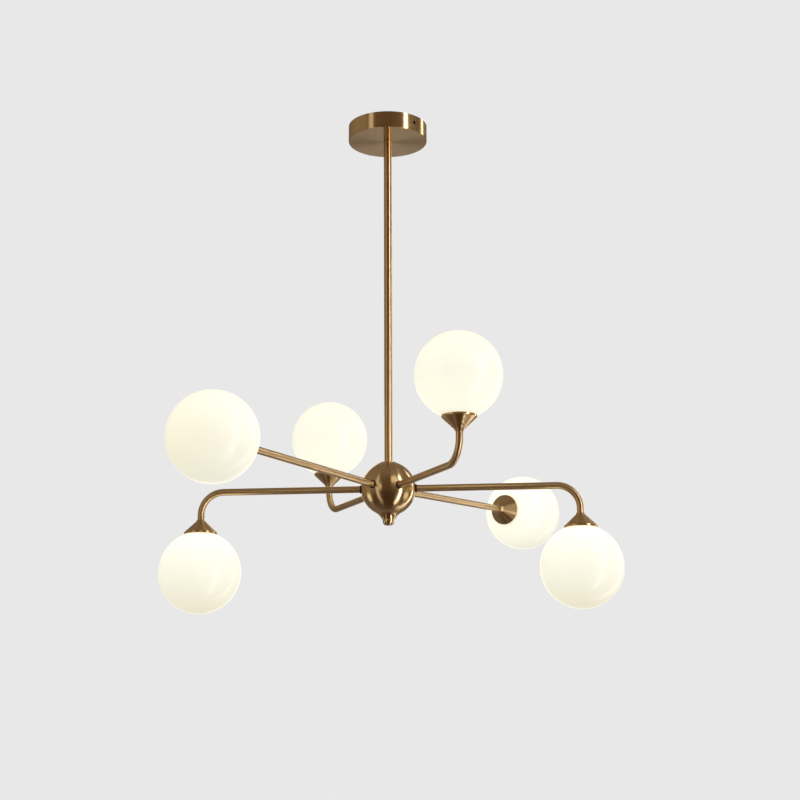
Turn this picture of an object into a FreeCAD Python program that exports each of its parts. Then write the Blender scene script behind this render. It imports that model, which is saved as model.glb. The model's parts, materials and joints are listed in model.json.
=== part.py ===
import FreeCAD, Part
import math
import os

# A six-armed branching ceiling chandelier, in millimetres.
#
# The ceiling is the plane z = 0 and everything hangs below it, centred on the Z axis.
# Six arms leave a spherical hub in three opposite pairs, 60 degrees apart:
#   straight arms     along +X and -X, the longest, with the globe on the arm's own line
#   downturned arms   mid length, bent down, with the globe hanging under the leg
#   upturned arms     the shortest, bent up, with the globe standing on the leg
# Every arm ends in the same stack: collar, cup, lamp holder, lamp, gasket and globe.
# Those pieces are turned about their own Z axis, with the globe's centre at the origin
# and +Z pointing away from the arm, and are then placed on each arm's end.

Vector = FreeCAD.Vector
Rotation = FreeCAD.Rotation
Placement = FreeCAD.Placement
Z_AXIS = Vector(0, 0, 1)

# ---- overall layout
HUB_BELOW_CEILING = 566.0      # ceiling to the hub's centre
STRAIGHT_REACH = 380.0         # hub's centre to the globe's centre, along the arm
DOWN_REACH = 277.0             # hub's centre to the downturned leg's axis
UP_REACH = 231.0               # hub's centre to the upturned leg's axis
LEG = 118.0                    # arm's axis to the globe's centre, on the bent arms
STRAIGHT_RISE = 2.0            # degrees that the straight arms climb outwards
BEND_RADIUS = 33.0             # centre line of the bends

# ---- general clearances
RUNNING_GAP = 0.05             # radial, a round piece turning or screwed in its hole
EASY_GAP = 0.3                 # radial, a piece that passes loosely through a hole
SEAT_GAP = 0.2                 # between curved or sliding pieces at rest
FACE_GAP = 0.05                # between flat faces that turn on each other
BREAK = 0.3                    # small rounding that takes the sharpness off an edge
PAST = 1.0                     # how far a cut runs past the face that it goes through
TINY = 0.01                    # lengths under this count as nothing

# ---- canopy and what is under it
CANOPY_R = 60.0
CANOPY_HEIGHT = 25.0
CANOPY_WALL = 1.2
CANOPY_EDGE_ROUND = 0.8
PLATE_R = 46.0
PLATE_THICK = 2.0
SLOT_SPACING = 70.0            # between the two ceiling screws, along Y
SLOT_WIDTH = 4.5
SLOT_LENGTH = 14.0             # end to end
SUPPLY_HOLE_R = 8.0
SUPPLY_HOLE_X = 24.0
EAR_WIDTH = 16.0
EAR_THICK = 2.0
EAR_DROP = 18.0                # from the ceiling to the ear's lower edge
EAR_TO_WALL = 0.3              # from the ear's corners to the canopy's wall
SIDE_SCREW_AZIMUTH = 258.0     # degrees from +X; the second screw is opposite
SIDE_SCREW_DROP = 11.5         # from the ceiling to the screw's axis
SIDE_SCREW_R = 2.0
SIDE_SCREW_HEAD_R = 2.7
SIDE_SCREW_LENGTH = 10.0
SIDE_SCREW_SOCKET_R = 1.2
SIDE_SCREW_SOCKET_DEPTH = 0.9
TERMINAL_X = -30.0
TERMINAL_SIZE = (22.0, 26.0, 13.0)
TERMINAL_EDGE = 1.0
TERMINAL_WAYS = 3
TERMINAL_SCREW_R = 2.2
TERMINAL_SCREW_DEPTH = 4.0

# ---- stem
STEM_R = 6.0
STEM_BORE_R = 4.0
STEM_ABOVE_FLOOR = 9.8         # stem end above the canopy's inner floor
STEM_WASHER_R = 14.0
STEM_WASHER_THICK = 1.5
STEM_NUT_FLATS = 18.0
STEM_NUT_HEIGHT = 5.0
STEM_BELOW_NUT = 3.0           # thread that shows below the nut in the hub

# ---- hub
HUB_R = 40.0
HUB_WALL = 2.5
HUB_SEAM_DROP = 23.0           # hub's centre down to the seam
SEAM_GAP = 0.25
SEAM_LIP_HEIGHT = 4.0
SEAM_LIP_WALL = 1.5
TOP_PAD_R = 12.0
TOP_PAD_THICK = 2.0            # inside the shell, under the top
FLARE_R = 18.0                 # hollow curve from the sphere down to the cap's foot
FLARE_NECK_R = 8.2             # radius of the waist that the hollow curve leads to
FOOT_R = 9.5                   # foot of the lower cap, where the finial bears
NIPPLE_BORE_R = 2.6
NIPPLE_IN_STEM = 12.0
NIPPLE_IN_FINIAL = 5.6
WINDOW_WIDTH = 3.8             # side window where the lead leaves the nipple
WINDOW_LOW = 6.5               # above the hub's centre
WINDOW_HIGH = 22.5
FINIAL_R = 8.6
FINIAL_HEIGHT = 9.0
FINIAL_ROUND = 6.0
CONNECTOR_R = 13.0             # round wire connector about the nipple
CONNECTOR_HEIGHT = 12.0
CONNECTOR_EDGE = 1.0

# ---- arm roots
ARM_R = 5.0
ARM_WALL = 1.0
ROOT_R = 4.0                   # threaded end of the arm
ROOT_BORE_R = 2.6
ROOT_PAD_R = 8.5
ROOT_PAD_THICK = 2.0
ROOT_WASHER_R = 6.0
ROOT_WASHER_THICK = 2.2
ROOT_NUT_FLATS = 13.0
ROOT_NUT_HEIGHT = 5.0
ROOT_PAST_NUT = 3.0
ROOT_SHOULDER = 2.0            # solid length between root and tube

# ---- arm end: the stack, measured back from the globe's centre
GLOBE_R = 60.0
GLOBE_WALL = 2.0
NECK_WALL = 2.4
NECK_LENGTH = 2.0              # straight part of the globe's neck
THREAD_GAP = 0.4               # radial, between the globe's neck and the skirt
GASKET_THICK = 1.0
HOLDER_DISC_R = 18.0
HOLDER_DISC_THICK = 1.2
SKIRT_R = 16.0                 # threaded skirt that the globe screws on
SKIRT_WALL = 1.6
SKIRT_LENGTH = 9.0
CORE_R = 9.5                   # socket body
CORE_LENGTH = 13.0
BOSS_WALL = 2.2                # back of the holder, screwed on the arm's end
BOSS_ENGAGE = 6.3              # length of arm inside the boss
LEAD_ENTRY_DEPTH = 3.0
LEAD_ENTRY_R = 3.0
CUP_R = 24.0
CUP_WALL = 1.2
CUP_LIP = 3.0                  # straight part of the rim
CUP_HEIGHT = 18.2
CUP_FOOT_STEP = 2.9            # from the tube out to the cone's end on the arm's collar
CUP_TO_GLOBE = 0.3             # at the inside of the rim
CUP_SHOULDER_STEP = 1.1        # flat inside the cup, past the boss that presses on it
BEAD_INSET = 0.3               # collar on the arm, from the cup's foot in to its edge
BEAD_END_STEP = 0.8            # the collar tapers to this much more than the tube
BEAD_LENGTH = 3.3
LAMP_R = 7.5
LAMP_BASE_R = 7.0
LAMP_BASE_LENGTH = 7.0
LAMP_LENGTH = 44.0
LAMP_DOME = 6.0
PIN_SPACING = 9.0
PIN_R = 0.9
PIN_LENGTH = 10.0
PIN_HOLE_GAP = 0.4
PIN_HOLE_SPARE = 1.0

# ---- wiring
LEAD_R = 1.6
LEAD_BEND = 8.0

# ---- worked-out places
HUB_Z = -HUB_BELOW_CEILING
CANOPY_FLOOR_Z = -CANOPY_HEIGHT + CANOPY_WALL
STEM_TOP_Z = CANOPY_FLOOR_Z + STEM_ABOVE_FLOOR
HUB_INNER_R = HUB_R - HUB_WALL
TOP_PAD_Z = HUB_INNER_R - TOP_PAD_THICK
STEM_END_Z = TOP_PAD_Z - STEM_NUT_HEIGHT - STEM_BELOW_NUT
NIPPLE_R = STEM_BORE_R - RUNNING_GAP
FLARE_CENTRE_R = FLARE_NECK_R + FLARE_R
FLARE_CENTRE_Z = -math.sqrt((HUB_R + FLARE_R) ** 2 - FLARE_CENTRE_R**2)
FOOT_Z = FLARE_CENTRE_Z + math.sqrt(FLARE_R**2 - (FLARE_CENTRE_R - FOOT_R) ** 2)
ROOT_SEAT = math.sqrt(HUB_R**2 - (ROOT_WASHER_R + SEAT_GAP) ** 2)
ROOT_PAD_FACE = HUB_INNER_R - ROOT_PAD_THICK
ROOT_WASHER_FACE = ROOT_SEAT + ROOT_WASHER_THICK
ARM_START = ROOT_WASHER_FACE + FACE_GAP
ROOT_END = ROOT_PAD_FACE - ROOT_NUT_HEIGHT - ROOT_PAST_NUT
MOUTH_R = SKIRT_R + THREAD_GAP
NECK_R = MOUTH_R + NECK_WALL
NECK_BACK = math.sqrt(GLOBE_R**2 - NECK_R**2) + NECK_LENGTH
GASKET_R = NECK_R - SEAT_GAP
BOSS_R = ARM_R + BOSS_WALL
CUP_FOOT_R = ARM_R + CUP_FOOT_STEP
CUP_SHOULDER_R = BOSS_R + CUP_SHOULDER_STEP
BEAD_R = CUP_FOOT_R - BEAD_INSET
BEAD_END_R = ARM_R + BEAD_END_STEP
CUP_RIM_BACK = math.sqrt(GLOBE_R**2 - (CUP_R - CUP_WALL) ** 2) + CUP_TO_GLOBE
CUP_BACK = CUP_RIM_BACK + CUP_HEIGHT
GASKET_BACK = NECK_BACK + FACE_GAP
DISC_BACK = GASKET_BACK + GASKET_THICK
CONE_START_BACK = CUP_RIM_BACK + CUP_LIP
CONE_SLOPE = (CUP_R - CUP_FOOT_R) / (CUP_BACK - CONE_START_BACK)
CONE_INSET = CUP_WALL * math.sqrt(1 + CONE_SLOPE**2)


def inner_cone_back(radius):
    """How far back from the globe's centre the cup's inner cone has this radius."""
    return CONE_START_BACK + (CUP_R - CONE_INSET - radius) / CONE_SLOPE


CUP_SHOULDER_BACK = inner_cone_back(CUP_SHOULDER_R)
ARM_TIP_BACK = CUP_SHOULDER_BACK - BOSS_ENGAGE
LEAD_TIP_BACK = ARM_TIP_BACK - LEAD_ENTRY_DEPTH

# ---- the six arms: name, azimuth in degrees, kind
ARMS = [
    ("straight_arm_1", 0.0, "straight"),
    ("upturned_arm_1", 60.0, "up"),
    ("downturned_arm_1", 120.0, "down"),
    ("straight_arm_2", 180.0, "straight"),
    ("upturned_arm_2", 240.0, "up"),
    ("downturned_arm_2", 300.0, "down"),
]
REACH = {"straight": STRAIGHT_REACH, "up": UP_REACH, "down": DOWN_REACH}
RISE = {"straight": STRAIGHT_RISE, "up": 0.0, "down": 0.0}


# ---------------------------------------------------------------- shape helpers
def outline(points):
    """A closed wire in the XZ plane through (x, z) corners; a third value rounds the corner."""
    corners = [Vector(p[0], 0, p[1]) for p in points]
    radii = [p[2] if len(p) > 2 else 0.0 for p in points]
    trims = []
    for i, corner in enumerate(corners):
        before = (corners[i - 1] - corner).normalize()
        after = (corners[(i + 1) % len(corners)] - corner).normalize()
        if not radii[i]:
            trims.append((corner, None, corner))
            continue
        half = before.getAngle(after) / 2
        cut = radii[i] / math.tan(half)
        middle = (before + after).normalize() * (radii[i] / math.sin(half) - radii[i])
        trims.append((corner + before * cut, corner + middle, corner + after * cut))
    edges = []
    for i, (start, middle, end) in enumerate(trims):
        if middle:
            edges.append(Part.Arc(start, middle, end).toShape())
        following = trims[(i + 1) % len(trims)][0]
        if end.distanceToPoint(following) > TINY:
            edges.append(Part.LineSegment(end, following).toShape())
    return Part.Wire(edges)


def turned(points):
    """A solid of revolution about Z from a profile of (radius, height) corners."""
    return Part.Face(outline(points)).revolve(Vector(), Z_AXIS, 360)


def rod(radius, low, high):
    """A round bar on the Z axis."""
    return Part.makeCylinder(radius, high - low, Vector(0, 0, low), Z_AXIS)


def bar_along_x(radius, near, far):
    """A round bar on the X axis."""
    return Part.makeCylinder(radius, far - near, Vector(near, 0, 0), Vector(1, 0, 0))


def block(x_range, y_range, z_range):
    """A box from three ranges."""
    low = Vector(x_range[0], y_range[0], z_range[0])
    size = [r[1] - r[0] for r in (x_range, y_range, z_range)]
    return Part.makeBox(*size, low)


def hex_nut(flats, bore, low, high):
    """A hexagon nut on the Z axis with its corners chamfered."""
    corner = flats / math.sqrt(3)
    points = [
        Vector(corner * math.cos(math.radians(60 * k)), corner * math.sin(math.radians(60 * k)), low)
        for k in range(7)
    ]
    prism = Part.Face(Part.makePolygon(points)).extrude(Vector(0, 0, high - low))
    chamfer = corner - flats / 2
    blank = turned([
        (0, low),
        (flats / 2, low),
        (corner, low + chamfer),
        (corner, high - chamfer),
        (flats / 2, high),
        (0, high),
    ])
    return prism.common(blank).cut(rod(bore, low - PAST, high + PAST))


def placed(shape, placement):
    """A copy of the shape, moved by the placement."""
    copy = shape.copy()
    copy.Placement = placement.multiply(copy.Placement)
    return copy


def bent_bar(radius, start, reach, kind, end):
    """A round bar along an arm's centre line, in the arm's frame.

    It runs out along X from start, turns up or down at the reach where the arm is bent,
    and ends that far from the arm's axis, or on a straight arm at x = end.
    """
    if kind == "straight":
        return bar_along_x(radius, start, end)
    sign = 1 if kind == "up" else -1
    bend_start = reach - BEND_RADIUS
    run = bar_along_x(radius, start, bend_start)
    section = Part.Face(Part.Wire(Part.makeCircle(radius, Vector(bend_start, 0, 0), Vector(1, 0, 0))))
    pivot = Vector(bend_start, 0, sign * BEND_RADIUS)
    elbow = section.revolve(pivot, Vector(0, -sign, 0), 90)
    foot = Vector(reach, 0, sign * BEND_RADIUS)
    leg = Part.makeCylinder(radius, end - BEND_RADIUS, foot, Vector(0, 0, sign))
    return run.fuse([elbow, leg]).removeSplitter()


# ---------------------------------------------------------------- frames
HUB_FRAME = Placement(Vector(0, 0, HUB_Z), Rotation())


def arm_frame(azimuth, rise):
    """The frame of an arm: origin at the hub's centre, X out along the arm."""
    turn = Rotation(Z_AXIS, azimuth).multiply(Rotation(Vector(0, 1, 0), -rise))
    return Placement(Vector(0, 0, HUB_Z), turn)


def end_frame(kind):
    """Where the end stack sits in an arm's frame: origin at the globe's centre, Z outwards."""
    if kind == "straight":
        return Placement(Vector(STRAIGHT_REACH, 0, 0), Rotation(Vector(0, 1, 0), 90))
    if kind == "up":
        return Placement(Vector(UP_REACH, 0, LEG), Rotation())
    return Placement(Vector(DOWN_REACH, 0, -LEG), Rotation(Vector(0, 1, 0), 180))


# x axis of a root piece's own frame turned from Z to the arm's X
ROOT_FRAME = Placement(Vector(), Rotation(Vector(0, 1, 0), 90))


# ---------------------------------------------------------------- canopy
def at_side_screws(shape):
    """Two copies of a shape made along +X, turned to the two side screws."""
    angles = (SIDE_SCREW_AZIMUTH, SIDE_SCREW_AZIMUTH + 180)
    centre = Vector(0, 0, -SIDE_SCREW_DROP)
    return [placed(shape, Placement(centre, Rotation(Z_AXIS, a))) for a in angles]


def side_screw_cone(outer_r, inner_r):
    """The countersink, or the head in it, through the canopy's wall, along +X."""
    start = Vector(CANOPY_R - CANOPY_WALL, 0, 0)
    return Part.makeCone(inner_r, outer_r, CANOPY_WALL, start, Vector(1, 0, 0))


def canopy_cover():
    """The round brass cap against the ceiling, open at the top."""
    inner = CANOPY_R - CANOPY_WALL
    cover = turned([
        (STEM_R + EASY_GAP, -CANOPY_HEIGHT),
        (CANOPY_R, -CANOPY_HEIGHT, CANOPY_EDGE_ROUND),
        (CANOPY_R, 0),
        (inner, 0),
        (inner, CANOPY_FLOOR_Z, BREAK),
        (STEM_R + EASY_GAP, CANOPY_FLOOR_Z),
    ])
    hole = side_screw_cone(SIDE_SCREW_HEAD_R + SEAT_GAP, SIDE_SCREW_R + SEAT_GAP)
    entry = bar_along_x(SIDE_SCREW_R + SEAT_GAP, inner - PAST, inner)
    return cover.cut(at_side_screws(hole.fuse(entry)))


def canopy_side_screws():
    """The two black countersunk screws that hold the canopy to the plate's ears."""
    inner = CANOPY_R - CANOPY_WALL
    shank = bar_along_x(SIDE_SCREW_R, CANOPY_R - SIDE_SCREW_LENGTH, inner)
    head = side_screw_cone(SIDE_SCREW_HEAD_R, SIDE_SCREW_R)
    socket = bar_along_x(SIDE_SCREW_SOCKET_R, CANOPY_R - SIDE_SCREW_SOCKET_DEPTH, CANOPY_R)
    return at_side_screws(shank.fuse(head).removeSplitter().cut(socket))


def slot(y):
    """One ceiling screw's slot, its length along Y."""
    half = (SLOT_LENGTH - SLOT_WIDTH) / 2
    radius = SLOT_WIDTH / 2
    span = (-PLATE_THICK - PAST, PAST)
    ends = [
        Part.makeCylinder(radius, span[1] - span[0], Vector(0, y + side * half, span[0]), Z_AXIS)
        for side in (-1, 1)
    ]
    return block((-radius, radius), (y - half, y + half), span).fuse(ends)


def ceiling_plate():
    """The steel plate screwed to the ceiling, with two ears bent down for the side screws."""
    half = EAR_WIDTH / 2
    ear_outer = math.sqrt((CANOPY_R - CANOPY_WALL) ** 2 - half**2) - EAR_TO_WALL
    tongue = block((0, ear_outer), (-half, half), (-PLATE_THICK, 0))
    ear = block((ear_outer - EAR_THICK, ear_outer), (-half, half), (-EAR_DROP, 0))
    lug = tongue.fuse(ear)
    lugs = [placed(lug, Placement(Vector(), Rotation(Z_AXIS, SIDE_SCREW_AZIMUTH + a))) for a in (0, 180)]
    plate = rod(PLATE_R, -PLATE_THICK, 0).fuse(lugs).removeSplitter()
    tapped = at_side_screws(bar_along_x(SIDE_SCREW_R + RUNNING_GAP, ear_outer - EAR_THICK - PAST, CANOPY_R))
    supply = rod(SUPPLY_HOLE_R, -PLATE_THICK - PAST, PAST).translated(Vector(SUPPLY_HOLE_X, 0, 0))
    slots = [slot(side * SLOT_SPACING / 2) for side in (-1, 1)]
    return plate.cut(tapped + slots + [supply])


def terminal_block():
    """The screw terminal block under the plate, with one screw well per way."""
    length, width, height = TERMINAL_SIZE
    low_z = -PLATE_THICK - height
    body = block(
        (TERMINAL_X - length / 2, TERMINAL_X + length / 2),
        (-width / 2, width / 2),
        (low_z, -PLATE_THICK),
    )
    upright = [e for e in body.Edges if abs(e.Vertexes[0].Z - e.Vertexes[1].Z) > height / 2]
    body = body.makeFillet(TERMINAL_EDGE, upright)
    pitch = width / TERMINAL_WAYS
    wells = [
        Part.makeCylinder(
            TERMINAL_SCREW_R,
            TERMINAL_SCREW_DEPTH,
            Vector(TERMINAL_X, (k - (TERMINAL_WAYS - 1) / 2) * pitch, low_z),
            Z_AXIS,
        )
        for k in range(TERMINAL_WAYS)
    ]
    return body.cut(wells)


# ---------------------------------------------------------------- stem
def stem_tube():
    """The vertical tube from the canopy to the hub, threaded at both ends."""
    low = HUB_Z + STEM_END_Z
    return rod(STEM_R, low, STEM_TOP_Z).cut(rod(STEM_BORE_R, low - PAST, STEM_TOP_Z + PAST))


def stem_washer():
    """The stiffening washer on the canopy's floor, under the upper nut."""
    top = CANOPY_FLOOR_Z + STEM_WASHER_THICK
    washer = rod(STEM_WASHER_R, CANOPY_FLOOR_Z, top)
    return washer.cut(rod(STEM_R + EASY_GAP, CANOPY_FLOOR_Z - PAST, top + PAST))


def stem_lock_nuts():
    """One nut above the canopy's floor and one inside the top of the hub."""
    bore = STEM_R + RUNNING_GAP
    upper_low = CANOPY_FLOOR_Z + STEM_WASHER_THICK
    lower_high = HUB_Z + TOP_PAD_Z
    return [
        hex_nut(STEM_NUT_FLATS, bore, upper_low, upper_low + STEM_NUT_HEIGHT),
        hex_nut(STEM_NUT_FLATS, bore, lower_high - STEM_NUT_HEIGHT, lower_high),
    ]


# ---------------------------------------------------------------- hub
def root_hole(azimuth, rise):
    """What each arm takes out of the hub's shell: the washer's seat and the root's hole."""
    seat = bar_along_x(ROOT_WASHER_R + SEAT_GAP, ROOT_SEAT, HUB_R + PAST)
    bore = bar_along_x(ROOT_R + RUNNING_GAP, ROOT_PAD_FACE - PAST, HUB_R + PAST)
    return placed(seat.fuse(bore), Placement(Vector(), arm_frame(azimuth, rise).Rotation))


def root_pad(azimuth, rise):
    """The flat pad inside the shell that an arm's nut bears on."""
    pad = bar_along_x(ROOT_PAD_R, ROOT_PAD_FACE, HUB_R - HUB_WALL / 2)
    return placed(pad, Placement(Vector(), arm_frame(azimuth, rise).Rotation))


def hub_upper_shell():
    """The spherical shell down to the seam, with its pads and holes."""
    below = rod(HUB_R + PAST, -HUB_R - PAST, -HUB_SEAM_DROP + SEAM_GAP / 2)
    shell = Part.makeSphere(HUB_R).cut(Part.makeSphere(HUB_INNER_R))
    pads = [root_pad(azimuth, RISE[kind]) for _, azimuth, kind in ARMS]
    top_pad = rod(TOP_PAD_R, TOP_PAD_Z, HUB_R - HUB_WALL / 2)
    shell = shell.fuse(pads + [top_pad]).cut(below)
    holes = [root_hole(azimuth, RISE[kind]) for _, azimuth, kind in ARMS]
    stem_hole = rod(STEM_R + RUNNING_GAP, TOP_PAD_Z - PAST, HUB_R + PAST)
    return placed(shell.cut(holes + [stem_hole]), HUB_FRAME)


def arc_in_xz(centre, radius, start, end):
    """An arc in the XZ plane about a centre (x, z), between two angles in degrees from +X."""
    points = []
    for angle in (start, (start + end) / 2, end):
        turn = math.radians(angle)
        points.append(Vector(centre[0] + radius * math.cos(turn), 0, centre[1] + radius * math.sin(turn)))
    return Part.Arc(*points).toShape()


def hub_lower_cap():
    """The bottom of the sphere, drawn down into a small foot, with a lip inside the seam."""
    seam = -HUB_SEAM_DROP - SEAM_GAP / 2
    seam_angle = math.degrees(math.asin(seam / HUB_R))
    meet_angle = math.degrees(math.atan2(FLARE_CENTRE_Z, FLARE_CENTRE_R))
    foot_angle = 180 - math.degrees(math.asin((FOOT_Z - FLARE_CENTRE_Z) / FLARE_R))
    sphere_arc = arc_in_xz((0, 0), HUB_R, seam_angle, meet_angle)
    flare_arc = arc_in_xz((FLARE_CENTRE_R, FLARE_CENTRE_Z), FLARE_R, meet_angle + 180, foot_angle)
    corners = [Vector(FOOT_R, 0, FOOT_Z), Vector(0, 0, FOOT_Z), Vector(0, 0, seam),
               Vector(HUB_R * math.cos(math.radians(seam_angle)), 0, seam)]
    sides = [Part.LineSegment(a, b).toShape() for a, b in zip(corners, corners[1:])]
    profile = Part.Face(Part.Wire([sphere_arc, flare_arc] + sides))
    cap = profile.revolve(Vector(), Z_AXIS, 360).cut(Part.makeSphere(HUB_INNER_R))
    lip_r = math.sqrt(HUB_INNER_R**2 - HUB_SEAM_DROP**2) - SEAT_GAP
    lip_low = -math.sqrt(HUB_INNER_R**2 - (lip_r - SEAM_LIP_WALL) ** 2) - HUB_WALL / 2
    lip = rod(lip_r, lip_low, seam + SEAM_LIP_HEIGHT)
    lip = lip.cut(rod(lip_r - SEAM_LIP_WALL, lip_low - PAST, seam + SEAM_LIP_HEIGHT + PAST))
    lip = lip.common(Part.makeSphere(HUB_R - HUB_WALL / 2))
    bore = rod(NIPPLE_R + RUNNING_GAP, FOOT_Z - PAST, 0)
    return placed(cap.fuse(lip).cut(bore), HUB_FRAME)


def hub_centre_nipple():
    """The threaded tube from the stem's end down to the finial, with a window for the lead."""
    low = FOOT_Z - NIPPLE_IN_FINIAL
    high = STEM_END_Z + NIPPLE_IN_STEM
    nipple = rod(NIPPLE_R, low, high).cut(rod(NIPPLE_BORE_R, low - PAST, high + PAST))
    half = WINDOW_WIDTH / 2
    window = block((0, NIPPLE_R + PAST), (-half, half), (WINDOW_LOW, WINDOW_HIGH))
    return placed(nipple.cut(window), HUB_FRAME)


def finial_nut():
    """The rounded brass nut under the hub."""
    nut = turned([
        (0, 0),
        (FINIAL_R, 0, BREAK),
        (FINIAL_R, -FINIAL_HEIGHT, FINIAL_ROUND),
        (0, -FINIAL_HEIGHT),
    ])
    nut = nut.cut(rod(NIPPLE_R + RUNNING_GAP, -NIPPLE_IN_FINIAL - SEAT_GAP, PAST))
    return placed(nut, Placement(Vector(0, 0, HUB_Z + FOOT_Z), Rotation()))


def hub_wire_connector():
    """The round connector about the nipple where the six arm leads meet the stem's lead."""
    half = CONNECTOR_HEIGHT / 2
    ring = turned([
        (NIPPLE_R + EASY_GAP, -half),
        (CONNECTOR_R, -half, CONNECTOR_EDGE),
        (CONNECTOR_R, half, CONNECTOR_EDGE),
        (NIPPLE_R + EASY_GAP, half),
    ])
    return placed(ring, HUB_FRAME)


# ---------------------------------------------------------------- arms
def root_washer():
    """The dark friction washer between an arm and the hub, on the Z axis."""
    washer = turned([
        (ROOT_R + SEAT_GAP, ROOT_SEAT),
        (ROOT_WASHER_R, ROOT_SEAT),
        (ROOT_WASHER_R, ROOT_WASHER_FACE, BREAK),
        (ROOT_R + SEAT_GAP, ROOT_WASHER_FACE),
    ])
    return placed(washer, ROOT_FRAME)


def root_nut():
    """The lock nut on an arm's root, inside the hub."""
    high = ROOT_PAD_FACE - FACE_GAP
    nut = hex_nut(ROOT_NUT_FLATS, ROOT_R + RUNNING_GAP, high - ROOT_NUT_HEIGHT, high)
    return placed(nut, ROOT_FRAME)


def arm_tube(kind):
    """An arm: threaded root, tube, bend where there is one, and the collar behind the cup."""
    reach = REACH[kind]
    span = reach if kind == "straight" else LEG
    tip = span - ARM_TIP_BACK
    outside = bent_bar(ARM_R, ARM_START, reach, kind, tip)
    root = bar_along_x(ROOT_R, ROOT_END, ARM_START)
    bead_start = Vector(0, 0, -CUP_BACK - BEAD_LENGTH)
    bead = placed(Part.makeCone(BEAD_END_R, BEAD_R, BEAD_LENGTH, bead_start, Z_AXIS), end_frame(kind))
    inside = bent_bar(ARM_R - ARM_WALL, ARM_START + ROOT_SHOULDER, reach, kind, tip + PAST)
    passage = bar_along_x(ROOT_BORE_R, ROOT_END - PAST, ARM_START + ROOT_SHOULDER + PAST)
    return outside.fuse([root, bead]).removeSplitter().cut([inside, passage])


def arm_lead(kind):
    """The flexible lead inside an arm, from the hub's connector to the lamp holder."""
    reach = REACH[kind]
    span = reach if kind == "straight" else LEG
    return bent_bar(LEAD_R, CONNECTOR_R + SEAT_GAP, reach, kind, span - LEAD_TIP_BACK)


# ---------------------------------------------------------------- arm end stack
def cup():
    """The conical brass cup behind a globe, with a straight lip at its rim."""
    inner_r = CUP_R - CUP_WALL
    bore_r = ARM_R + RUNNING_GAP * 2
    return turned([
        (CUP_R, -CUP_RIM_BACK, BREAK),
        (CUP_R, -CONE_START_BACK, BREAK),
        (CUP_FOOT_R, -CUP_BACK),
        (bore_r, -CUP_BACK),
        (bore_r, -CUP_SHOULDER_BACK),
        (CUP_SHOULDER_R, -CUP_SHOULDER_BACK),
        (inner_r, -inner_cone_back(inner_r)),
        (inner_r, -CUP_RIM_BACK),
    ])


def pin_pair(radius, low, high):
    """Two round bars at the lamp's pin spacing, along Z."""
    return [
        Part.makeCylinder(radius, high - low, Vector(0, side * PIN_SPACING / 2, low), Z_AXIS)
        for side in (-1, 1)
    ]


def lamp_holder():
    """The ceramic holder: boss on the arm's end, disc, threaded skirt and socket core."""
    disc_top = -DISC_BACK
    disc_low = disc_top - HOLDER_DISC_THICK
    core_top = disc_top + CORE_LENGTH
    skirt_top = disc_top + SKIRT_LENGTH
    body = turned([
        (0, -CUP_SHOULDER_BACK),
        (BOSS_R, -CUP_SHOULDER_BACK, BREAK),
        (BOSS_R, disc_low),
        (HOLDER_DISC_R, disc_low),
        (HOLDER_DISC_R, disc_top),
        (SKIRT_R, disc_top),
        (SKIRT_R, skirt_top, BREAK),
        (SKIRT_R - SKIRT_WALL, skirt_top, BREAK),
        (SKIRT_R - SKIRT_WALL, disc_top),
        (CORE_R, disc_top),
        (CORE_R, core_top, BREAK * 2),
        (0, core_top),
    ])
    tube_hole = rod(ARM_R + RUNNING_GAP, -CUP_SHOULDER_BACK - PAST, -ARM_TIP_BACK)
    lead_hole = rod(LEAD_ENTRY_R, -ARM_TIP_BACK - PAST, -LEAD_TIP_BACK)
    pin_low = core_top - PIN_LENGTH - PIN_HOLE_SPARE
    return body.cut([tube_hole, lead_hole] + pin_pair(PIN_R + PIN_HOLE_GAP, pin_low, core_top + PAST))


def lamp():
    """The capsule lamp: base, domed cover and two pins."""
    seat = -DISC_BACK + CORE_LENGTH + SEAT_GAP
    tip = seat + LAMP_LENGTH
    step = seat + LAMP_BASE_LENGTH
    body = turned([
        (0, seat),
        (LAMP_BASE_R, seat, BREAK),
        (LAMP_BASE_R, step),
        (LAMP_R, step, BREAK),
        (LAMP_R, tip, LAMP_DOME),
        (0, tip),
    ])
    return body.fuse(pin_pair(PIN_R, seat - PIN_LENGTH, seat + PAST)).removeSplitter()


def gasket():
    """The soft ring between the globe's neck and the holder's disc."""
    inner = SKIRT_R + EASY_GAP
    low, high = -DISC_BACK, -GASKET_BACK
    return rod(GASKET_R, low, high).cut(rod(inner, low - PAST, high + PAST))


def globe():
    """The opal glass globe with its short screw neck."""
    outside = Part.makeSphere(GLOBE_R).fuse(rod(NECK_R, -NECK_BACK, 0))
    inside = Part.makeSphere(GLOBE_R - GLOBE_WALL).fuse(rod(MOUTH_R, -GLOBE_R - PAST, 0))
    return outside.cut(inside)


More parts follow.
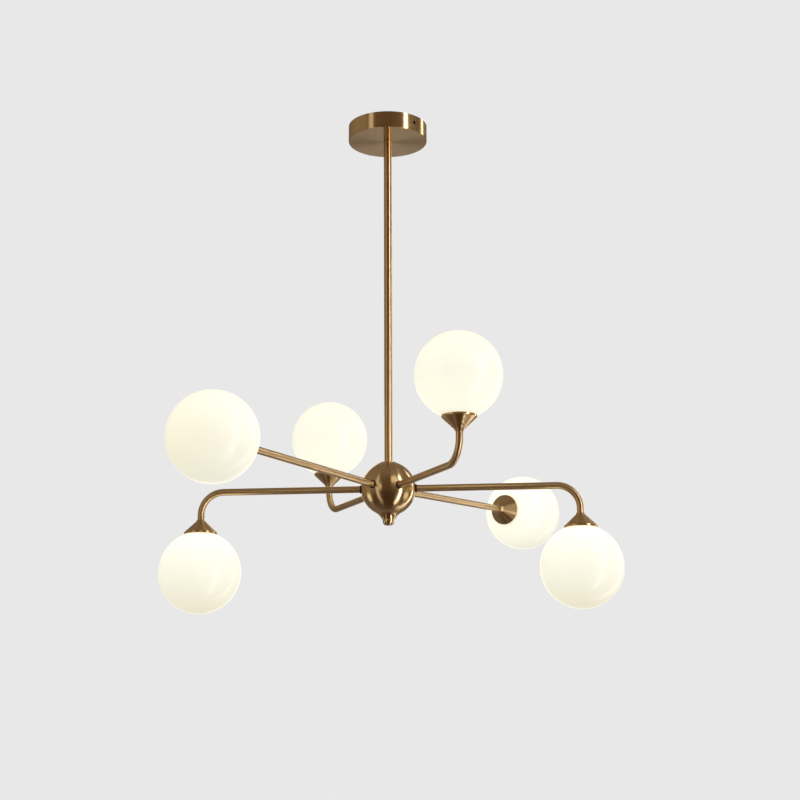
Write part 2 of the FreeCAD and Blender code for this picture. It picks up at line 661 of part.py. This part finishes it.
# ---------------------------------------------------------------- wiring in the centre
def stem_lead():
    """The lead from the terminal block down the stem and out of the nipple to the connector.

    All arcs lie in the XZ plane. The last two swing it out through the window, onto the
    middle of the connector's ring.
    """
    start_x = TERMINAL_X + TERMINAL_SIZE[0] / 2
    start_z = -PLATE_THICK - TERMINAL_SIZE[2] / 2
    connector_x = (NIPPLE_R + EASY_GAP + CONNECTOR_R) / 2
    swing = math.acos(1 - connector_x / (2 * LEAD_BEND))
    swing_drop = 2 * LEAD_BEND * math.sin(swing)
    swing_top = HUB_Z + WINDOW_HIGH
    half = LEAD_BEND * (1 - math.cos(swing / 2))
    rise = LEAD_BEND * math.sin(swing / 2)
    bend_top = Vector(-LEAD_BEND, 0, start_z)
    bend_mid = Vector(-LEAD_BEND + LEAD_BEND * math.sin(math.pi / 4), 0,
                      start_z - LEAD_BEND * (1 - math.cos(math.pi / 4)))
    bend_low = Vector(0, 0, start_z - LEAD_BEND)
    swing_start = Vector(0, 0, swing_top)
    first_mid = Vector(half, 0, swing_top - rise)
    swing_mid = Vector(connector_x / 2, 0, swing_top - swing_drop / 2)
    second_mid = Vector(connector_x - half, 0, swing_top - swing_drop + rise)
    swing_end = Vector(connector_x, 0, swing_top - swing_drop)
    foot = Vector(connector_x, 0, HUB_Z + CONNECTOR_HEIGHT / 2)
    edges = [
        Part.LineSegment(Vector(start_x, 0, start_z), bend_top).toShape(),
        Part.Arc(bend_top, bend_mid, bend_low).toShape(),
        Part.LineSegment(bend_low, swing_start).toShape(),
        Part.Arc(swing_start, first_mid, swing_mid).toShape(),
        Part.Arc(swing_mid, second_mid, swing_end).toShape(),
        Part.LineSegment(swing_end, foot).toShape(),
    ]
    path = Part.Wire(edges)
    section = Part.Wire(Part.makeCircle(LEAD_R, Vector(start_x, 0, start_z), Vector(1, 0, 0)))
    lead = path.makePipeShell([section], True, False)
    print("stem lead: volume / (section x length) =",
          round(lead.Volume / (math.pi * LEAD_R**2 * path.Length), 4))
    return lead


# ---------------------------------------------------------------- build and write
def build():
    """All nodes by name, each a solid or a list of separate solids."""
    nodes = {
        "ceiling_plate": ceiling_plate(),
        "canopy_cover": canopy_cover(),
        "canopy_side_screws": canopy_side_screws(),
        "canopy_terminal_block": terminal_block(),
        "stem_tube": stem_tube(),
        "stem_washer": stem_washer(),
        "stem_lock_nuts": stem_lock_nuts(),
        "stem_lead": stem_lead(),
        "hub_upper_shell": hub_upper_shell(),
        "hub_lower_cap": hub_lower_cap(),
        "hub_centre_nipple": hub_centre_nipple(),
        "hub_wire_connector": hub_wire_connector(),
        "finial_nut": finial_nut(),
    }
    washer, nut = root_washer(), root_nut()
    stack = {
        "cup": cup(),
        "lamp_holder": lamp_holder(),
        "lamp": lamp(),
        "gasket": gasket(),
        "globe": globe(),
    }
    nodes["arm_root_washers"] = []
    nodes["straight_arm_lock_nuts"] = []
    nodes["straight_arm_leads"] = []
    for name, azimuth, kind in ARMS:
        frame = arm_frame(azimuth, RISE[kind])
        nodes["arm_root_washers"].append(placed(washer, frame))
        nodes[name + "_tube"] = placed(arm_tube(kind), frame)
        for piece, shape in stack.items():
            nodes[name + "_" + piece] = placed(shape, frame.multiply(end_frame(kind)))
        if kind == "straight":
            nodes["straight_arm_lock_nuts"].append(placed(nut, frame))
            nodes["straight_arm_leads"].append(placed(arm_lead(kind), frame))
        else:
            nodes[name + "_lock_nut"] = placed(nut, frame)
            nodes[name + "_lead"] = placed(arm_lead(kind), frame)
    return nodes


os.makedirs("parts", exist_ok=True)
for node, made in build().items():
    solids = made if isinstance(made, list) else [made]
    for solid in solids:
        if not solid.isValid() or len(solid.Solids) != 1 or solid.Volume <= 0:
            print("check", node, solid.ShapeType, solid.isValid(), len(solid.Solids), solid.Volume)
    singles = [solid.Solids[0] for solid in solids]
    shape = singles[0] if len(singles) == 1 else Part.makeCompound(singles)
    shape.exportStep("parts/" + node + ".step")
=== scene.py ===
import json
import math

import bpy
from mathutils import Euler, Matrix, Vector

# The looks of a six-armed branching chandelier in brushed brass with lit opal globes.
# Every shape is a construction part from the frame; this script gives each one its surface,
# and adds the camera, the studio's lights and reflections, and a pale floor.

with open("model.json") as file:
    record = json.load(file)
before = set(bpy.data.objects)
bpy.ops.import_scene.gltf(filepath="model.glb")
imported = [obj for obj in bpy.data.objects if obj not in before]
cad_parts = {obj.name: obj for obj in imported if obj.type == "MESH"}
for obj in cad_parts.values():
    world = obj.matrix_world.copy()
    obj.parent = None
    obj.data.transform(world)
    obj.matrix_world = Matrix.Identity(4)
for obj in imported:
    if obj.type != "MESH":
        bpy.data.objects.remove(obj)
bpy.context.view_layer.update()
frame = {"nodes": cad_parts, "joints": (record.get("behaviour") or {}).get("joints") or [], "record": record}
nodes = frame["nodes"]
joints = {joint["name"]: joint for joint in frame["joints"]}

UP = Vector((0, 0, 1))

# ---- sizes that the frame doesn't state, in metres
GLOBE_R = 0.060
ELBOW_R = 0.033                # centre line of an arm's bend
CEILING_TO_FLOOR = 2.4
FLOOR_HALF = 5.0
FLOOR_FADE = (0.3, 0.96)       # shares of FLOOR_HALF over which the floor turns into the backdrop

# ---- the camera, at the photograph's place
CAMERA_LENS = 69.0             # mm, on a sensor of 36 mm
CAMERA_SENSOR = 36.0
CAMERA_CLIP = 60.0
CAMERA_AZIMUTH = math.radians(-144.15)   # from the stem's axis to the camera
CAMERA_DISTANCE = 2.2063       # level distance from the stem's axis
CAMERA_BELOW_HUB = 0.3889
VIEW_AZIMUTH = math.radians(35.40)
VIEW_PITCH = math.radians(13.314)
VIEW_ROLL = math.radians(-0.236)

# ---- brass: colours are linear, and roughness is a range that the grain moves over
BRASS_LIGHT = (0.82, 0.580, 0.305, 1)
BRASS_DEEP = (0.76, 0.520, 0.260, 1)
TURNED_ROUGHNESS = (0.20, 0.24)
TUBE_ROUGHNESS = (0.29, 0.31)
GRAINS = ((2600.0, 1.6), (900.0, 0.9), (260.0, 0.6))   # noise per metre along the axis, and round it
GROOVE_DEPTH = 0.0000012
MOTTLE_SCALE = 38.0
BENT_SIDE_SCALE = 60.0         # noise per metre to a bent tube's sides, in place of the turn round it
BENT_HEIGHT_SCALE = 0.02

# ---- the lit glass, where white is 1
GLOW = 0.74
GLOW_NEAR_LAMP = 0.86
CUP_SHADE = 0.72
GLASS_NEAR_CUP = (1.0, 0.975, 0.80, 1)
GLASS_FAR_END = (1.0, 0.935, 0.71, 1)

# ---- the studio; offsets are in degrees to the right of the camera, seen from the stem
AREA_LIGHT_WATTS = math.pi     # watts per square metre for a radiance of one
STRIP_DISTANCE = 2.6
STRIP_FOOT = -6.0
STRIP_HEAD = 1.8
STRIPS = {                     # offset, width, radiance, colour
    "key": (54, 0.40, 6.0, (1, 1, 1)),
    "left_strip": (-49, 0.60, 0.58, (1.0, 0.97, 0.93)),
    "right_edge": (122, 0.34, 3.4, (1.0, 0.97, 0.94)),
}
SOFT_LIGHTS = {                # offset, distance from the stem's axis, height
    "overhead": (40, 0.8, 2.4),
    "right_fill": (70, 2.8, -0.2),
}
SOFT_LIGHT_SIZE = 1.6
SOFT_LIGHT_RADIANCE = 0.8
SOFT_LIGHT_TARGET = UP * -0.4

# ---- what is seen round the object, linear
BACKDROP = (0.815, 0.807, 0.807, 1)
RING_FRONT = (0.110, 0.075, 0.045, 1)
RING_STOPS = (                 # what reflections see at each offset
    (30, 0.130, 0.092, 0.058),
    (75, 0.230, 0.190, 0.140),
    (105, 0.160, 0.125, 0.090),
    (150, 0.190, 0.155, 0.115),
    (180, 0.300, 0.270, 0.230),
    (210, 0.170, 0.135, 0.095),
    (255, 0.260, 0.215, 0.150),
    (290, 0.270, 0.220, 0.150),
    (303, 0.150, 0.110, 0.072),
    (330, 0.120, 0.086, 0.054),
)
CEILING_TONE = (0.20, 0.165, 0.125, 1)
NEAR_LOW_TONE = (0.050, 0.028, 0.014, 1)
FAR_LOW_TONE = (0.170, 0.148, 0.135, 1)
FILL_LOW = (0.32, 0.31, 0.28, 1)
FILL_HIGH = (0.38, 0.38, 0.37, 1)
FLOOR_GLOW = 0.70


# ---------------------------------------------------------------- node helpers
def plug(tree, socket, value):
    """Links a socket to another socket, or sets its value."""
    if isinstance(value, bpy.types.NodeSocket):
        tree.links.new(value, socket)
    else:
        socket.default_value = value


def add(tree, kind, inputs=(), **settings):
    """A new node. inputs maps a socket's name or number to a value or to another socket."""
    node = tree.nodes.new(kind)
    for name, value in settings.items():
        setattr(node, name, value)
    for socket, value in dict(inputs).items():
        plug(tree, node.inputs[socket], value)
    return node


def maths(tree, operation, *values):
    """The result of a Math node."""
    return add(tree, "ShaderNodeMath", enumerate(values), operation=operation).outputs[0]


def vectors(tree, operation, *values):
    """The result of a Vector Math node: a number for the operations that give one."""
    node = add(tree, "ShaderNodeVectorMath", enumerate(values), operation=operation)
    return node.outputs["Value" if operation in ("DOT_PRODUCT", "LENGTH") else "Vector"]


def scaled(tree, vector, factor):
    """A vector times a number."""
    inputs = {0: vector, "Scale": factor}
    return add(tree, "ShaderNodeVectorMath", inputs, operation="SCALE").outputs["Vector"]


def remap(tree, value, low, high, to_low, to_high, smooth=False):
    """The value taken from one range to another, clamped."""
    kind = "SMOOTHSTEP" if smooth else "LINEAR"
    inputs = {"Value": value, "From Min": low, "From Max": high, "To Min": to_low, "To Max": to_high}
    return add(tree, "ShaderNodeMapRange", inputs, interpolation_type=kind).outputs["Result"]


def noise(tree, vector, scale, detail=2.0, w=None):
    """A noise texture's value; with w it is four-dimensional."""
    inputs = {"Vector": vector, "Scale": scale, "Detail": detail, "Roughness": 0.5}
    if w is not None:
        inputs["W"] = w
    dimensions = "3D" if w is None else "4D"
    return add(tree, "ShaderNodeTexNoise", inputs, noise_dimensions=dimensions).outputs["Fac"]


def blend(tree, factor, first, second):
    """Two colours mixed; 6 and 7 are the colour sockets of a Mix node, and 2 is its colour output."""
    return add(tree, "ShaderNodeMix", {0: factor, 6: first, 7: second}, data_type="RGBA").outputs[2]


def combined(tree, x, y, z):
    """A vector from three numbers."""
    return add(tree, "ShaderNodeCombineXYZ", {0: x, 1: y, 2: z}).outputs[0]


def object_point(tree):
    """The shaded point in the piece's own coordinates, which move with it."""
    return add(tree, "ShaderNodeTexCoord").outputs["Object"]


def surface_normal(tree):
    """The surface's direction at the shaded point."""
    return add(tree, "ShaderNodeNewGeometry").outputs["Normal"]


def new_material(name):
    """An empty material with its Principled shader."""
    material = bpy.data.materials.new(name)
    material.use_nodes = True
    tree = material.node_tree
    tree.nodes.clear()
    shader = add(tree, "ShaderNodeBsdfPrincipled")
    add(tree, "ShaderNodeOutputMaterial", {"Surface": shader.outputs[0]})
    return material, tree, shader


def feed(tree, shader, **inputs):
    """Sets or links the shader's inputs; an underscore in a name stands for a space."""
    for name, value in inputs.items():
        plug(tree, shader.inputs[name.replace("_", " ")], value)


def bumped(tree, height, distance):
    """The normal of a fine relief."""
    return add(tree, "ShaderNodeBump", {"Height": height, "Distance": distance, "Strength": 1.0}).outputs[0]


def in_world(tree, vector):
    """A direction of the piece turned into the world's."""
    node = add(tree, "ShaderNodeVectorTransform", {0: vector}, vector_type="VECTOR")
    node.convert_from, node.convert_to = "OBJECT", "WORLD"
    return node.outputs[0]


# ---------------------------------------------------------------- brass
def turned_grain(tree, centre, axis):
    """Brushing round an axis: the grain's noise coordinates and its direction on the surface."""
    point = vectors(tree, "SUBTRACT", object_point(tree), centre)
    along = vectors(tree, "DOT_PRODUCT", point, axis)
    across = vectors(tree, "SUBTRACT", point, scaled(tree, axis, along))
    radius = vectors(tree, "LENGTH", across)
    outward = vectors(tree, "NORMALIZE", across)
    side_one = axis.orthogonal().normalized()
    side_two = axis.cross(side_one)
    turn_one = vectors(tree, "DOT_PRODUCT", outward, side_one)
    turn_two = vectors(tree, "DOT_PRODUCT", outward, side_two)
    ring = in_world(tree, vectors(tree, "CROSS_PRODUCT", axis, outward))
    return (along, radius, turn_one, turn_two), ring


def arm_grain(tree, hub, outwards, reach, sign):
    """Brushing round a bent tube, which follows its centre line through the bend.

    The tube runs outwards from the hub to its reach, and its leg goes up or down by the sign.
    """
    bend_at = reach - ELBOW_R
    point = vectors(tree, "SUBTRACT", object_point(tree), hub)
    out = vectors(tree, "DOT_PRODUCT", point, outwards)
    height = maths(tree, "MULTIPLY", vectors(tree, "DOT_PRODUCT", point, UP), sign)
    lateral = vectors(tree, "DOT_PRODUCT", point, UP.cross(outwards))
    past = maths(tree, "MAXIMUM", maths(tree, "SUBTRACT", out, bend_at), 0.0)
    below = maths(tree, "MAXIMUM", maths(tree, "SUBTRACT", ELBOW_R, height), 0.0)
    turn = maths(tree, "ARCTAN2", past, below)
    run = maths(tree, "MINIMUM", out, bend_at)
    leg = maths(tree, "MAXIMUM", maths(tree, "SUBTRACT", height, ELBOW_R), 0.0)
    path = maths(tree, "ADD", maths(tree, "MULTIPLY_ADD", turn, ELBOW_R, run), leg)
    forward = vectors(
        tree, "ADD",
        scaled(tree, outwards, maths(tree, "COSINE", turn)),
        scaled(tree, UP * sign, maths(tree, "SINE", turn)),
    )
    ring = vectors(tree, "CROSS_PRODUCT", in_world(tree, forward), surface_normal(tree))
    side = maths(tree, "MULTIPLY", lateral, BENT_SIDE_SCALE)
    return (path, maths(tree, "MULTIPLY", height, BENT_HEIGHT_SCALE), side, 0.0), ring


def brass(name, grain, roughness=TURNED_ROUGHNESS):
    """Brushed brass: fine grooves that follow the grain, under a thin clear lacquer."""
    material, tree, shader = new_material(name)
    (along, radius, turn_one, turn_two), ring = grain(tree)
    streaks = []
    for fine, coarse in GRAINS:
        place = combined(
            tree,
            maths(tree, "MULTIPLY", along, fine),
            maths(tree, "MULTIPLY", radius, fine),
            maths(tree, "MULTIPLY", turn_one, coarse),
        )
        streaks.append(noise(tree, place, 1.0, w=maths(tree, "MULTIPLY", turn_two, coarse)))
    finest, middle, widest = streaks
    mottle = noise(tree, object_point(tree), MOTTLE_SCALE, 3.0)
    tone = maths(tree, "MULTIPLY_ADD", middle, 0.55, maths(tree, "MULTIPLY", mottle, 0.45))
    grooves = maths(tree, "MULTIPLY_ADD", finest, 0.5, maths(tree, "MULTIPLY", widest, 0.5))
    feed(
        tree, shader,
        Base_Color=blend(tree, remap(tree, tone, 0.36, 0.64, 0.0, 1.0), BRASS_DEEP, BRASS_LIGHT),
        Metallic=1.0,
        Roughness=remap(tree, grooves, 0.35, 0.65, *roughness),
        Normal=bumped(tree, grooves, GROOVE_DEPTH),
        Tangent=vectors(tree, "CROSS_PRODUCT", ring, surface_normal(tree)),
        Anisotropic=0.85,
        Coat_Weight=0.35,
        Coat_Roughness=0.12,
    )
    return material


# ---------------------------------------------------------------- the other surfaces
def opal_glass(name, centre, axis):
    """Lit opal glass: nearly even, shaded by the cup and a little warmer at the far end."""
    material, tree, shader = new_material(name)
    point = vectors(tree, "SUBTRACT", object_point(tree), centre)
    reach = maths(tree, "DIVIDE", vectors(tree, "DOT_PRODUCT", point, axis), GLOBE_R)
    shade = remap(tree, reach, -0.97, -0.86, CUP_SHADE, 1.0, smooth=True)
    glow = remap(tree, reach, -0.9, 0.0, GLOW_NEAR_LAMP, GLOW, smooth=True)
    cloud = remap(tree, noise(tree, object_point(tree), 22.0), 0.3, 0.7, 0.985, 1.015)
    strength = maths(tree, "MULTIPLY", maths(tree, "MULTIPLY", glow, shade), cloud)
    feed(
        tree, shader,
        Base_Color=blend(tree, cloud, (0.80, 0.78, 0.72, 1), (0.84, 0.82, 0.77, 1)),
        Roughness=remap(tree, noise(tree, object_point(tree), 60.0), 0.3, 0.7, 0.26, 0.32),
        IOR=1.5,
        Emission_Color=blend(tree, remap(tree, reach, 0.2, 1.0, 0.0, 1.0), GLASS_NEAR_CUP, GLASS_FAR_END),
        Emission_Strength=strength,
        Specular_IOR_Level=0.3,
        Coat_Weight=0.06,
        Coat_Roughness=0.12,
    )
    return material


def plain_surface(name, light, dark, scale, roughness, relief, more):
    """A moulded, glazed, plated or painted surface with a fine mottle and relief."""
    material, tree, shader = new_material(name)
    grain = noise(tree, object_point(tree), scale, 4.0)
    cloud = noise(tree, object_point(tree), scale / 8)
    mix = maths(tree, "MULTIPLY_ADD", grain, 0.5, maths(tree, "MULTIPLY", cloud, 0.5))
    feed(
        tree, shader,
        Base_Color=blend(tree, remap(tree, mix, 0.35, 0.65, 0.0, 1.0), dark, light),
        Roughness=remap(tree, grain, 0.3, 0.7, *roughness),
        Normal=bumped(tree, grain, relief),
        **more,
    )
    return material


def lamp_cover():
    """The lamp's frosted cover, lit from inside."""
    material, tree, shader = new_material("lamp_body")
    frost = noise(tree, object_point(tree), 900.0, 3.0)
    feed(
        tree, shader,
        Base_Color=blend(tree, frost, (0.86, 0.84, 0.78, 1), (0.94, 0.93, 0.89, 1)),
        Roughness=remap(tree, frost, 0.3, 0.7, 0.35, 0.5),
        Emission_Color=(1.0, 0.90, 0.70, 1),
        Emission_Strength=1.6,
    )
    return material


SILICONE_SOFTNESS = {"Subsurface_Weight": 0.2, "Subsurface_Radius": (0.002, 0.0018, 0.0015)}

# by material slot: light and dark colour, noise scale, roughness, relief in metres, other inputs
PLAIN_SURFACES = {
    "holder_ceramic": ((0.86, 0.85, 0.82, 1), (0.78, 0.77, 0.73, 1), 700.0, (0.30, 0.48), 0.00002, {}),
    "gasket_silicone": (
        (0.80, 0.79, 0.75, 1), (0.70, 0.69, 0.65, 1), 500.0, (0.45, 0.62), 0.00001, SILICONE_SOFTNESS),
    "lead_jacket": ((0.80, 0.78, 0.72, 1), (0.70, 0.68, 0.62, 1), 400.0, (0.38, 0.55), 0.00001, {}),
    "zinc_steel": (
        (0.64, 0.65, 0.67, 1), (0.50, 0.51, 0.52, 1), 320.0, (0.24, 0.42), 0.00001, {"Metallic": 1.0}),
    "black_screw": (
        (0.030, 0.028, 0.027, 1), (0.012, 0.011, 0.011, 1), 900.0, (0.28, 0.45), 0.00001, {"Metallic": 0.6}),
    "dark_washer": ((0.050, 0.038, 0.030, 1), (0.022, 0.017, 0.014, 1), 800.0, (0.45, 0.65), 0.00002, {}),
    "white_plastic": ((0.80, 0.80, 0.78, 1), (0.72, 0.72, 0.70, 1), 300.0, (0.32, 0.48), 0.00001, {}),
}


# ---------------------------------------------------------------- which surface goes where
def dress(node, material):
    """Gives a construction part one material."""
    mesh = nodes[node].data
    mesh.materials.clear()
    mesh.materials.append(material)


def arms():
    """Each arm's name, its globe's centre and its outward axis, from the globes' screw joints."""
    for name, joint in joints.items():
        if name.endswith("_unscrew"):
            family, _, number, _ = name.split("_")
            yield f"{family}_arm_{number}", Vector(joint["pos_m"]), Vector(joint["axis"]).normalized()


def dress_centre(hub):
    """The pieces on the stem's axis."""
    def grain(tree):
        return turned_grain(tree, hub, UP)

    material = brass("brushed_brass_centre", grain)
    for node in ("canopy_cover", "hub_upper_shell", "hub_lower_cap", "finial_nut"):
        dress(node, material)
    dress("stem_tube", brass("brushed_brass_stem", grain, TUBE_ROUGHNESS))


def dress_arm(arm, hub, centre, axis):
    """An arm's cup, globe and tube, each with its own grain or glow."""
    def straight(tree):
        return turned_grain(tree, centre, axis)

    def bent(tree):
        level = Vector((centre.x, centre.y, 0))
        return arm_grain(tree, hub, level.normalized(), level.length, 1 if axis.z > 0 else -1)

    along_tube = straight if abs(axis.z) < 0.5 else bent
    dress(f"{arm}_cup", brass(f"brushed_brass_{arm}_cup", straight, TUBE_ROUGHNESS))
    dress(f"{arm}_globe", opal_glass(f"opal_glass_{arm}", centre, axis))
    dress(f"{arm}_tube", brass(f"brushed_brass_{arm}_tube", along_tube, TUBE_ROUGHNESS))


def dress_all(hub):
    """Every construction part gets its surface."""
    dress_centre(hub)
    for arm, centre, axis in arms():
        dress_arm(arm, hub, centre, axis)
    made = {slot: plain_surface(slot, *settings) for slot, settings in PLAIN_SURFACES.items()}
    made["lamp_body"] = lamp_cover()
    for part in frame["record"]["subparts"]:
        if part["material_slot"] in made:
            dress(part["node"], made[part["material_slot"]])


# ---------------------------------------------------------------- studio
def ring_direction(offset):
    """A level direction, in degrees to the right of the one that faces the photograph's camera."""
    angle = CAMERA_AZIMUTH + math.radians(offset)
    return Vector((math.cos(angle), math.sin(angle), 0))


def area_light(name, place, facing, width, height, radiance, colour=(1, 1, 1)):
    """A rectangular light that the camera doesn't see."""
    light = bpy.data.lights.new(name, "AREA")
    light.shape = "RECTANGLE"
    light.size, light.size_y = width, height
    light.energy = radiance * width * height * AREA_LIGHT_WATTS
    light.color = colour
    lamp = bpy.data.objects.new(name, light)
    bpy.context.scene.collection.objects.link(lamp)
    lamp.location = place
    lamp.rotation_euler = facing.to_track_quat("-Z", "Y").to_euler()
    lamp.visible_camera = False
    return lamp


def softbox(name, offset, width, radiance, colour):
    """A tall strip that only reflections see; it faces the stem's axis at STRIP_DISTANCE."""
    outwards = ring_direction(offset)
    place = outwards * STRIP_DISTANCE + UP * (STRIP_FOOT + STRIP_HEAD) / 2
    lamp = area_light(name, place, -outwards, width, STRIP_HEAD - STRIP_FOOT, radiance, colour)
    lamp.visible_diffuse = False


def soft_light(name, offset, distance, height):
    """A broad light for the glass and the floor's shadow, which reflections don't see."""
    place = ring_direction(offset) * distance + UP * height
    facing = SOFT_LIGHT_TARGET - place
    lamp = area_light(name, place, facing, SOFT_LIGHT_SIZE, SOFT_LIGHT_SIZE, SOFT_LIGHT_RADIANCE)
    lamp.visible_glossy = False


def seen_plainly(tree, seen):
    """1 for a ray from the camera or through glass, from the outputs of a Light Path node."""
    return maths(tree, "MAXIMUM", seen["Is Camera Ray"], seen["Is Transmission Ray"])


def reflected_ring(tree, x, y):
    """The dim studio's tones by level direction, from the camera's round to the right."""
    turn = maths(tree, "SUBTRACT", maths(tree, "ARCTAN2", y, x), CAMERA_AZIMUTH)
    share = maths(tree, "FRACT", maths(tree, "DIVIDE", turn, 2 * math.pi))
    ring = add(tree, "ShaderNodeValToRGB", {0: share})
    ramp = ring.color_ramp
    ramp.interpolation = "EASE"
    ramp.elements[0].color = ramp.elements[1].color = RING_FRONT
    for offset, *tone in RING_STOPS:
        ramp.elements.new(offset / 360).color = (*tone, 1)
    return ring.outputs[0]


def studio_world():
    """Pale to the camera; reflections see the backdrop behind the object and the dim studio round it."""
    world = bpy.data.worlds.new("studio")
    bpy.context.scene.world = world
    world.use_nodes = True
    world.cycles.sampling_method = "NONE"
    tree = world.node_tree
    tree.nodes.clear()
    direction = add(tree, "ShaderNodeTexCoord").outputs["Generated"]
    x, y, z = add(tree, "ShaderNodeSeparateXYZ", {0: direction}).outputs
    ring = reflected_ring(tree, x, y)
    above = remap(tree, z, 0.45, 0.95, 0.0, 1.0, smooth=True)
    below = remap(tree, z, 0.0, -0.45, 0.0, 1.0, smooth=True)
    away = vectors(tree, "DOT_PRODUCT", direction, -ring_direction(0))
    around = blend(tree, above, ring, CEILING_TONE)
    around = blend(tree, below, around, blend(tree, 0.85, around, NEAR_LOW_TONE))
    far = maths(tree, "MULTIPLY", below, remap(tree, away, 0.1, 0.5, 0.0, 1.0, smooth=True))
    around = blend(tree, far, around, FAR_LOW_TONE)
    behind = remap(tree, away, 0.93, 0.97, 0.0, 1.0, smooth=True)
    around = blend(tree, behind, around, BACKDROP)
    seen = add(tree, "ShaderNodeLightPath").outputs
    plainly = seen_plainly(tree, seen)
    fill = blend(tree, remap(tree, z, -0.7, 0.7, 0.0, 1.0), FILL_LOW, FILL_HIGH)
    light = blend(tree, seen["Is Glossy Ray"], fill, around)
    colour = blend(tree, plainly, light, BACKDROP)
    background = add(tree, "ShaderNodeBackground", {"Color": colour, "Strength": 1.0})
    add(tree, "ShaderNodeOutputWorld", {"Surface": background.outputs[0]})


def mixed_shader(tree, factor, first, second):
    """Two shaders mixed."""
    return add(tree, "ShaderNodeMixShader", {0: factor, 1: first, 2: second}).outputs[0]


def floor_surface():
    """The floor's surface: it fades into the backdrop, and reflections and shadow rays miss it."""
    material, tree, shader = new_material("pale_floor")
    speck = noise(tree, object_point(tree), 140.0, 3.0)
    seen = add(tree, "ShaderNodeLightPath").outputs
    plainly = seen_plainly(tree, seen)
    pale = blend(tree, speck, (0.50, 0.495, 0.49, 1), (0.54, 0.535, 0.53, 1))
    dim = blend(tree, speck, (0.18, 0.172, 0.165, 1), (0.20, 0.192, 0.185, 1))
    feed(tree, shader, Base_Color=blend(tree, plainly, dim, pale), Roughness=0.9, Specular_IOR_Level=0.0)
    glow = add(tree, "ShaderNodeEmission", {"Color": BACKDROP, "Strength": FLOOR_GLOW})
    lit = add(tree, "ShaderNodeAddShader", {0: shader.outputs[0], 1: glow.outputs[0]})
    wall = add(tree, "ShaderNodeEmission", {"Color": BACKDROP, "Strength": 1.0})
    radius = vectors(tree, "LENGTH", vectors(tree, "MULTIPLY", object_point(tree), (1, 1, 0)))
    fade = (FLOOR_HALF * share for share in FLOOR_FADE)
    edge = remap(tree, radius, *fade, 0.0, 1.0, smooth=True)
    faded = mixed_shader(tree, edge, lit.outputs[0], wall.outputs[0])
    top = mixed_shader(tree, plainly, shader.outputs[0], faded)
    hidden = add(tree, "ShaderNodeBsdfTransparent").outputs[0]
    backface = add(tree, "ShaderNodeNewGeometry").outputs["Backfacing"]
    unseen = maths(tree, "MAXIMUM", seen["Is Glossy Ray"], seen["Is Shadow Ray"])
    unseen = maths(tree, "MAXIMUM", unseen, backface)
    whole = mixed_shader(tree, unseen, top, hidden)
    output = next(node for node in tree.nodes if node.type == "OUTPUT_MATERIAL")
    plug(tree, output.inputs["Surface"], whole)
    return material


def floor():
    """A pale floor far below, which shows the object's soft shadow."""
    half, level = FLOOR_HALF, -CEILING_TO_FLOOR
    mesh = bpy.data.meshes.new("floor")
    corners = [(-half, -half, level), (half, -half, level), (half, half, level), (-half, half, level)]
    mesh.from_pydata(corners, [], [(0, 1, 2, 3)])
    mesh.materials.append(floor_surface())
    ground = bpy.data.objects.new("floor", mesh)
    bpy.context.scene.collection.objects.link(ground)


def camera(hub):
    """The camera, at the photograph's viewpoint."""
    data = bpy.data.cameras.new("camera")
    data.lens = CAMERA_LENS
    data.sensor_width = CAMERA_SENSOR
    data.clip_end = CAMERA_CLIP
    view = bpy.data.objects.new("camera", data)
    bpy.context.scene.collection.objects.link(view)
    view.location = ring_direction(0) * CAMERA_DISTANCE + UP * (hub.z - CAMERA_BELOW_HUB)
    level_view = Euler((math.pi / 2 + VIEW_PITCH, 0, VIEW_AZIMUTH - math.pi / 2))
    view.rotation_euler = (level_view.to_matrix() @ Matrix.Rotation(VIEW_ROLL, 3, "Z")).to_euler()
    bpy.context.scene.camera = view


def studio():
    """The lights, the world and the floor."""
    for name, strip in STRIPS.items():
        softbox(name, *strip)
    for name, place in SOFT_LIGHTS.items():
        soft_light(name, *place)
    studio_world()
    floor()


hub_centre = next(Vector(joint["pos_m"]) for name, joint in joints.items() if name.endswith("_turn"))
dress_all(hub_centre)
studio()
camera(hub_centre)
bpy.context.scene.view_settings.view_transform = "Standard"
